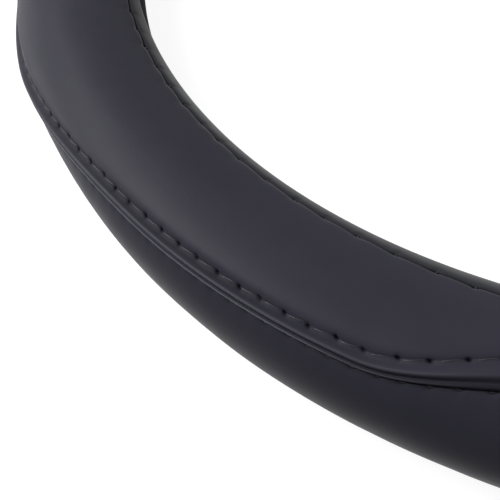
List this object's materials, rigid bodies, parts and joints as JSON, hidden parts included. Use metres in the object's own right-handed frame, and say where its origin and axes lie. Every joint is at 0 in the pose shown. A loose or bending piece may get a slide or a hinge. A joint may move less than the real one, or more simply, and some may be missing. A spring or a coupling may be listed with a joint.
{
  "type": "steering wheel cover",
  "caption": "Slip-on leather cover for a car steering wheel: a C-section rubber ring, thin foam and a skin of sewn panels with a topstitched lapped seam.",
  "frame": {"origin": "on the ring's axis, in the plane that the cover rests on", "axes": "+Z along the ring's axis towards the driver's side, +Y towards 12 o'clock, +X towards 3 o'clock"},
  "size_m": [0.3858, 0.382, 0.0354],
  "materials": {
    "panel_leather": "smooth black leather with a soft sheen",
    "binding_leather": "smooth black leather strip with a soft sheen",
    "rubber": "matte moulded black rubber",
    "foam": "open-cell dark grey foam"
  },
  "bodies": {
    "root": {"grip_ring": "rubber", "foam_padding": "foam", "front_panel_left": "panel_leather", "front_panel_right": "panel_leather", "outer_panel_left": "panel_leather", "outer_panel_right": "panel_leather", "front_binding": "binding_leather", "rear_binding": "binding_leather"}
  },
  "joints": []
}
